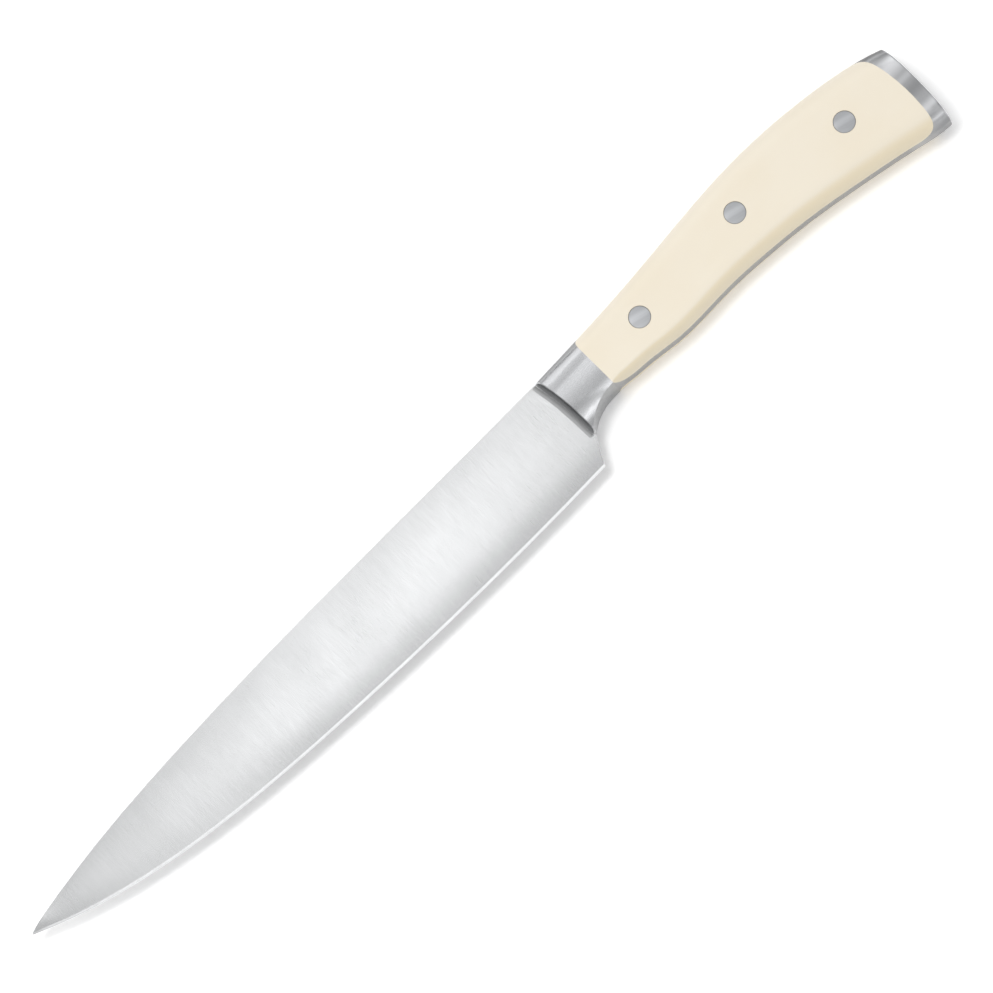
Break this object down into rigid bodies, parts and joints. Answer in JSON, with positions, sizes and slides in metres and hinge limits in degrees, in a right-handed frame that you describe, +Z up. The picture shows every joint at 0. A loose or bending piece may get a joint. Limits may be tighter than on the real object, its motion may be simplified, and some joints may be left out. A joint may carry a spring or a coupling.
{
  "type": "carving knife",
  "caption": "Forged carving knife with a slender pointed blade, steel bolster and end cap, full tang and curved cream handle scales held by flush rivets.",
  "frame": {"origin": "on the surface that the knife lies on, under the middle of its length and of its height from edge to spine", "axes": "+X from the tip to the butt, +Y from the cutting edge to the spine, +Z up through the thickness, out of the left scale"},
  "size_m": [0.3282, 0.0344, 0.016],
  "materials": {
    "blade_steel": "stainless steel, satin ground along the blade, with brushed bolster, tang edge and end cap",
    "cream_scale": "cream moulded plastic, smooth with a soft sheen",
    "rivet_steel": "stainless steel, ground flush with the scales"
  },
  "bodies": {
    "root": {"blade_forging": "blade_steel", "left_scale": "cream_scale", "right_scale": "cream_scale", "front_rivet_sleeve": "rivet_steel", "middle_rivet_sleeve": "rivet_steel", "rear_rivet_sleeve": "rivet_steel", "front_rivet_post": "rivet_steel", "middle_rivet_post": "rivet_steel", "rear_rivet_post": "rivet_steel"}
  },
  "joints": []
}
